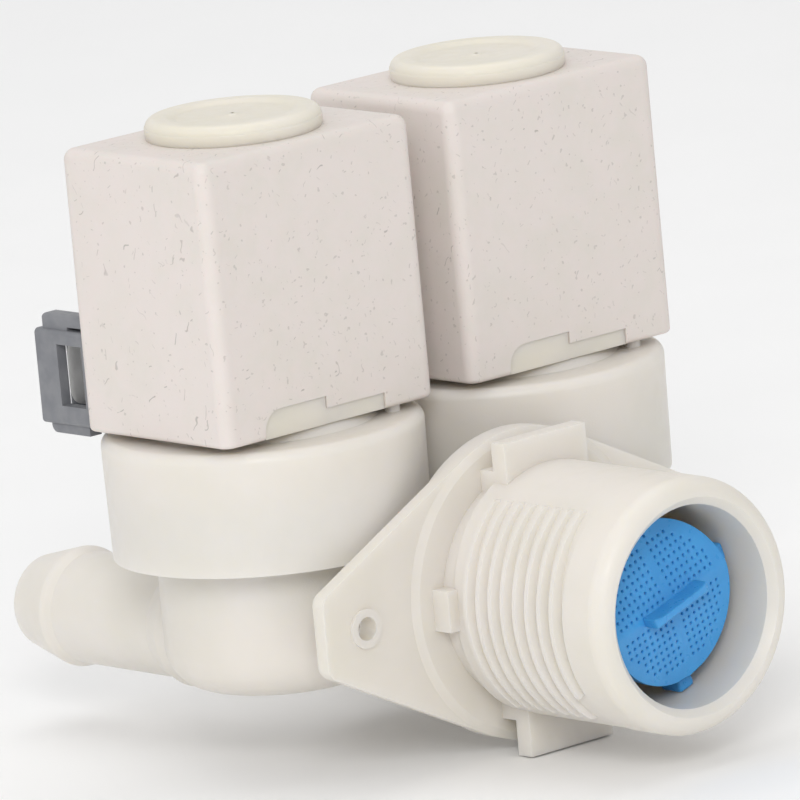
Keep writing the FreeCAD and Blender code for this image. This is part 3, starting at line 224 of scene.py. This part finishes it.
def tinted_plastic(name, colour, shade, roughness, scatter=0.0, grain=3800):
    """Coloured moulded plastic with a fine grain and slow colour drift."""
    f = Finish(name, colour, roughness, Subsurface_Weight=scatter, Subsurface_Scale=0.0012,
               IOR=1.5)
    f.set("Base Color", f.mix(f.ramp(f.noise(420, 3), 0.3, 0.7), colour, shade))
    f.set("Roughness", f.ramp(f.noise(1500, 2), 0.3, 0.7, roughness - 0.07, roughness + 0.07))
    f.set("Normal", f.bump(f.noise(grain, 2), 0.00003, 0.4))
    return f.material


def metal(name, colour, roughness, along):
    """Bare metal with fine lines drawn along one direction."""
    f = Finish(name, colour, roughness, Metallic=1.0)
    lines = f.noise(3000, 2, 0.6, stretch=along)
    f.set("Roughness", f.ramp(lines, 0.3, 0.7, roughness - 0.08, roughness + 0.1))
    f.set("Base Color", f.mix(f.ramp(f.noise(500, 2), 0.3, 0.7, 0.0, 0.6), colour,
                              tuple(0.82 * c for c in colour)))
    f.set("Normal", f.bump(lines, 0.00001, 0.4))
    return f.material


def wound_wire(name, colour):
    """Layers of fine enamelled wire: a close wave up the winding, with painted shade in the grooves
    between turns.
    """
    f = Finish(name, colour, 0.35, Metallic=1.0)
    parts = f.nodes.new("ShaderNodeSeparateXYZ")
    f.links.new(f.place, parts.inputs["Vector"])
    turns = f.math("SINE", f.math("MULTIPLY", parts.outputs["Z"], 2 * math.pi / 0.00022))
    f.set("Normal", f.bump(turns, 0.00004, 0.8))
    # Painted shade: the wire colour darkens to 0.45 of itself where the wave is low, in the grooves
    # between turns.
    f.set("Base Color", f.mix(f.ramp(turns, -1, 0.2), tuple(0.45 * c for c in colour), colour))
    return f.material


FINISHES = {
    "body_plastic": moulded_body("natural_plastic", (0.775, 0.735, 0.685), (0.74, 0.705, 0.64),
                                 0.42, 0.45),
    "coil_compound": fibre_compound("fibre_compound", (0.755, 0.69, 0.655), (0.725, 0.675, 0.625),
                                    (0.30, 0.27, 0.25)),
    "cap_plastic": moulded_body("cap_plastic", (0.80, 0.745, 0.655), (0.775, 0.725, 0.615),
                                0.40, 0.45),
    "filter_plastic": tinted_plastic("strainer_plastic", (0.05, 0.315, 0.70), (0.06, 0.345, 0.74),
                                     0.34, 0.15),
    "connector_plastic": tinted_plastic("connector_plastic", (0.185, 0.19, 0.208),
                                        (0.23, 0.235, 0.25), 0.5),
    "inner_plastic": moulded_body("inner_plastic", (0.72, 0.70, 0.62), (0.66, 0.64, 0.56),
                                  0.45, 0.3),
    "rubber": tinted_plastic("black_rubber", (0.022, 0.022, 0.022), (0.03, 0.03, 0.03), 0.7,
                             grain=2400),
    "plunger_steel": metal("plunger_steel", (0.60, 0.60, 0.61), 0.3, (1, 1, 6)),
    "spring_steel": metal("spring_steel", (0.66, 0.66, 0.66), 0.28, (1, 1, 1)),
    "yoke_steel": metal("yoke_steel", (0.56, 0.57, 0.59), 0.38, (6, 1, 1)),
    "copper": wound_wire("copper_wire", (0.72, 0.34, 0.17)),
    "terminal_tin": metal("terminal_tin", (0.88, 0.87, 0.85), 0.42, (1, 6, 1)),
}

SLOT_OF = {row["node"]: row["material_slot"] for row in frame["record"]["subparts"]}
for node, thing in frame["nodes"].items():
    finish = FINISHES[SLOT_OF[node]]
    for holder in thing.material_slots:
        holder.material = finish


# ---------------------------------------------------------------- strainer
RIDGE = math.radians(18.4)          # the ridge's tilt from +X towards +Z
ALONG = np.array([math.cos(RIDGE), 0.0, math.sin(RIDGE)])
UPWARD = np.array([-math.sin(RIDGE), 0.0, math.cos(RIDGE)])
FACE_RADIUS = 8.35 * MM
FACE_PLANE = FILTER_LOW[1] + 2.6 * MM
PITCH = 0.777 * MM
HOLE = 0.155 * MM
FIELD = 7.2 * MM
PLATE = 0.6 * MM


def roof(t):
    """Depth of the face at t across the ridge: a ridge whose two sides fall back."""
    fall = np.where(t > 0, 0.25, 0.10) * np.abs(t)
    return FACE_PLANE + np.sqrt(fall ** 2 + (0.05 * MM) ** 2)


def on_face(s, t, depth=0.0):
    """Points of the roof-shaped face, depth metres behind its surface."""
    s, t, depth = np.broadcast_arrays(s, t, depth)
    points = s[..., None] * ALONG + t[..., None] * UPWARD
    points[..., 1] += roof(t) + depth
    return points


def strainer_cells(centres):
    """Perforated squares: round each centre, rings go from the back of the hole's wall, up the wall
    and over a small lip, then change from a circle into the square of one pitch."""
    turn = np.arange(16) * math.pi / 8
    circle = np.stack([np.cos(turn), np.sin(turn)], axis=-1)
    square = circle / np.abs(circle).max(axis=-1, keepdims=True)
    rings = np.stack([circle * HOLE * 0.9, circle * HOLE, circle * (HOLE + 0.05 * MM),
                      (circle * (HOLE + 0.05 * MM) + square * PITCH / 2) / 2, square * PITCH / 2])
    depth = np.array([PLATE, 0.05 * MM, 0.0, 0.0, 0.0])[None, :, None]
    flat = centres[:, None, None, :] + rings[None]
    points = on_face(flat[..., 0], flat[..., 1], depth)
    unit = np.array(grid_faces(5, 16))
    faces = unit[None] + (np.arange(len(centres)) * 80)[:, None, None]
    return points.reshape(-1, 3), faces.reshape(-1, 4).tolist()


def strainer_strip(first, last, low, high):
    """A plain patch of the face: s runs between two edges that depend on t, t from low to high."""
    t = np.linspace(low, high, 7)
    part = np.linspace(0, 1, 13)[:, None]
    s = (1 - part) * first(t) + part * last(t)
    return on_face(s, np.broadcast_to(t, s.shape)).reshape(-1, 3), grid_faces(13, 7, wrap=False)


def strainer_face():
    """The perforated disc: rows of square cells beside plain patches out to the round edge."""
    rim = lambda t: np.sqrt(np.maximum(FACE_RADIUS ** 2 - t ** 2, 0))
    rows = np.concatenate([0.75 * MM + PITCH * np.arange(9), -1.05 * MM - PITCH * np.arange(8)])
    columns = 0.3 * MM + PITCH * np.concatenate([-np.arange(1, 11)[::-1], np.arange(1, 11)])
    parts = []
    half = PITCH / 2
    edges = []
    for row in rows:
        inside = columns[np.hypot(columns, row) < FIELD]
        low, high = row - half, row + half
        if len(inside) == 0:
            continue
        edges += [low, high]
        parts.append(strainer_cells(np.stack([inside, np.full_like(inside, row)], axis=-1)))
        left, right = inside.min() - half, inside.max() + half
        for first, last in ((lambda t: -rim(t), lambda t: np.full_like(t, left)),
                            (lambda t: np.full_like(t, 0.3 * MM - half),
                             lambda t: np.full_like(t, 0.3 * MM + half)),
                            (lambda t: np.full_like(t, right), rim)):
            parts.append(strainer_strip(first, last, low, high))
    edges = np.array(edges)
    for low, high in ((edges[edges < 0].max(), edges[edges > 0].min()),
                      (edges.max(), FACE_RADIUS), (-FACE_RADIUS, edges.min())):
        parts.append(strainer_strip(lambda t: -rim(t), rim, low, high))
    points, faces, count = [], [], 0
    for some, quads in parts:
        faces += (np.array(quads) + count).tolist()
        points.append(some)
        count += len(some)
    return piece("strainer_face", np.concatenate(points), faces, FINISHES["filter_plastic"])


def strainer_skirt():
    """The strainer's wall: a turned profile whose front edge follows the roof of the face, with
    shallow flutes that deepen towards the back; then round the back edge and forward inside."""
    turn = np.linspace(0, 2 * math.pi, 144, endpoint=False)[None, :]
    back = FILTER_HIGH[1]
    outer, inner, narrow = FACE_RADIUS, FACE_RADIUS - 0.8 * MM, 7.4 * MM
    radius = np.array([outer - 0.02 * MM, outer, outer, narrow + 0.5 * MM, narrow, narrow - 0.15 * MM,
                       narrow - 0.75 * MM, narrow - 0.9 * MM, inner - 0.4 * MM, inner])[:, None]
    share = np.array([0, 0.02, 0.1, 0.6, 0.985, 1.0, 1.0, 0.985, 0.5, 0.1])[:, None]
    flute = 0.16 * MM * np.cos(24 * turn) * np.clip(share - 0.1, 0, 1)
    front = roof(radius * np.sin(turn - RIDGE))
    along = front + (back - front) * share
    around = radius - flute
    points = np.stack([around * np.cos(turn), along, around * np.sin(turn)], axis=-1)
    return piece("strainer_skirt", points.reshape(-1, 3), grid_faces(10, 144),
                 FINISHES["filter_plastic"])


def pillow(name, centre, axes, half, power, bulge=None):
    """A block with rounded edges: a superquadric, each coordinate the signed power of a sphere's,
    optionally with its width scaled along its length by bulge."""
    down = np.linspace(-math.pi / 2, math.pi / 2, 33)[:, None]
    turn = np.linspace(0, 2 * math.pi, 64, endpoint=False)[None, :]
    soft = lambda value: np.sign(value) * np.abs(value) ** power
    x = soft(np.cos(down)) * soft(np.cos(turn)) * half[0]
    y = soft(np.cos(down)) * soft(np.sin(turn)) * half[1]
    z = soft(np.sin(down)) * half[2] + 0 * turn
    if bulge:
        y = y * bulge(x / half[0])
    points = (x[..., None] * axes[0] + y[..., None] * axes[1] + z[..., None] * axes[2]
              + np.array(centre))
    return piece(name, points.reshape(-1, 3), grid_faces(33, 64), FINISHES["filter_plastic"])


def strainer_grip():
    """The bar to pull the strainer out by, along the ridge, a little wider at its two ends."""
    forward = np.array([0.0, -1.0, 0.0])
    deep = 1.2 * MM
    return pillow("strainer_grip", (0, FACE_PLANE - 2.0 * MM + deep, 0), (ALONG, UPWARD, forward),
                  (3.9 * MM, 0.44 * MM, deep), 0.3, lambda s: 0.9 + 0.75 * np.abs(s) ** 6)


def strainer_feet():
    """Four small blocks that hold the strainer in the inlet's bore."""
    feet = []
    for number in range(4):
        angle = RIDGE + number * math.pi / 2
        out = np.array([math.cos(angle), 0.0, math.sin(angle)])
        side = np.array([-math.sin(angle), 0.0, math.cos(angle)])
        centre = out * 8.95 * MM + np.array([0.0, FACE_PLANE + 3.5 * MM, 0.0])
        feet.append(pillow("strainer_foot_%d" % number, centre, (out, side, np.array([0.0, 1.0, 0.0])),
                           (1.2 * MM, 1.0 * MM, 1.5 * MM), 0.25))
    return feet


def coil_cap(side):
    """The retaining cap: a turned skin whose side bulges a little and rolls over into a soft rim,
    with a shallow recess and a low moulding stub; below it the socket that grips the tube."""
    low, high = (np.array(corner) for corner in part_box("coil_cap_" + side))
    top, seat = high[2], high[2] - 2.1 * MM
    roll = np.linspace(0, math.pi / 2, 12)
    bulge = np.linspace(0, 1, 8)
    wide = (high[0] - low[0]) / 2
    dip = np.linspace(0, 1, 10)
    radius = np.concatenate([
        [0, 5.1 * MM, 5.1 * MM, 6.0 * MM, 6.0 * MM, wide - 0.15 * MM],
        wide - 0.12 * MM + 0.12 * MM * np.sin(math.pi * bulge * 0.7),
        wide - 0.1 * MM - 0.95 * MM * (1 - np.cos(roll)),
        6.9 * MM - 1.3 * MM * dip, [2.6 * MM, 0.75 * MM],
        0.6 * MM * np.cos(roll[::3])])
    height = np.concatenate([
        [top - 2.9 * MM, top - 2.9 * MM, low[2], low[2], seat, seat],
        seat + 0.05 * MM + 1.15 * MM * bulge,
        seat + 1.2 * MM + 0.9 * MM * np.sin(roll),
        top - 0.38 * MM * (dip ** 2 * (3 - 2 * dip)), [top - 0.4 * MM, top - 0.38 * MM],
        top - 0.34 * MM + 0.1 * MM * np.sin(roll[::3])])
    turn = np.linspace(0, 2 * math.pi, 160, endpoint=False)[None, :]
    middle_x, middle_y = (low[:2] + high[:2]) / 2
    points = np.stack([middle_x + radius[:, None] * np.cos(turn),
                       middle_y + radius[:, None] * np.sin(turn),
                       np.broadcast_to(height[:, None], (len(height), 160))], axis=-1)
    cap = piece("coil_cap_skin_" + side, points.reshape(-1, 3), grid_faces(len(radius), 160),
                FINISHES["cap_plastic"])
    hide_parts("coil_cap_" + side)
    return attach(cap, "root")


for side in SIDES:
    coil_cap(side)

STRAINER = [strainer_face(), strainer_skirt(), strainer_grip()] + strainer_feet()
for part in STRAINER:
    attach(part, "inlet_filter")
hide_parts("inlet_filter")


# ---------------------------------------------------------------- camera, floor and light
def look(thing, place, turn):
    thing.location = place
    thing.rotation_euler = [math.radians(angle) for angle in turn]
    scene.collection.objects.link(thing)
    return thing


lens = bpy.data.cameras.new("studio_camera")
lens.lens = 566.7
lens.sensor_width = 36.0
lens.clip_end = 20.0
scene.camera = look(bpy.data.objects.new("studio_camera", lens),
                    (-0.81408, -0.93320, 0.26983), (78.540, 5.233, -41.640))


def floor_finish():
    f = Finish("studio_floor", (0.97, 0.97, 0.97), 0.7)
    f.set("Roughness", f.ramp(f.noise(60, 2), 0.3, 0.7, 0.65, 0.8))
    return f.material


def studio_floor():
    """A pale sheet under the object that curves up behind it: flat, then a quarter turn, then flat."""
    floor = BODY_LOW[2] - 0.0002
    bend = 0.5
    angle = np.linspace(0, math.pi / 2, 24)
    run = np.concatenate([[-2.5], 1.2 + bend * np.sin(angle), [1.2 + bend]])
    rise = np.concatenate([[0.0], bend * (1 - np.cos(angle)), [3.0]])
    heading = np.array([math.sin(math.radians(40.6)), math.cos(math.radians(40.6))])
    across = np.array([heading[1], -heading[0]])
    sides = np.array([-3.0, 3.0])
    flat = run[:, None, None] * heading + sides[None, :, None] * across
    points = np.concatenate([flat, np.broadcast_to((floor + rise)[:, None, None],
                                                   (len(run), 2, 1))], axis=-1)
    return piece("studio_floor", points.reshape(-1, 3), grid_faces(len(run), 2, wrap=False),
                 floor_finish())


studio_floor()

scene.world = scene.world or bpy.data.worlds.new("studio")
scene.world.use_nodes = True
backdrop = scene.world.node_tree.nodes["Background"]
backdrop.inputs["Color"].default_value = (1.0, 1.0, 1.0, 1)
backdrop.inputs["Strength"].default_value = 0.62


def soft_box(name, place, size, power, target=(0.0, 0.02, 0.015), colour=(1, 1, 1)):
    """A large square lamp that faces the object."""
    lamp = bpy.data.lights.new(name, "AREA")
    lamp.shape = "SQUARE"
    lamp.size = size
    lamp.energy = power
    lamp.color = colour
    thing = bpy.data.objects.new(name, lamp)
    scene.collection.objects.link(thing)
    thing.location = place
    aim = np.array(target) - np.array(place)
    flat = math.hypot(aim[0], aim[1])
    thing.rotation_euler = (math.atan2(flat, -aim[2]), 0, math.atan2(aim[1], aim[0]) - math.pi / 2)
    return thing


soft_box("key_light", (-0.78, -0.86, 0.62), 0.4, 5.2)
soft_box("side_light", (-0.9, 0.1, 0.5), 0.6, 0.9)
soft_box("top_light", (0.1, 0.2, 1.0), 0.9, 2.6)
scene.view_settings.view_transform = "Standard"
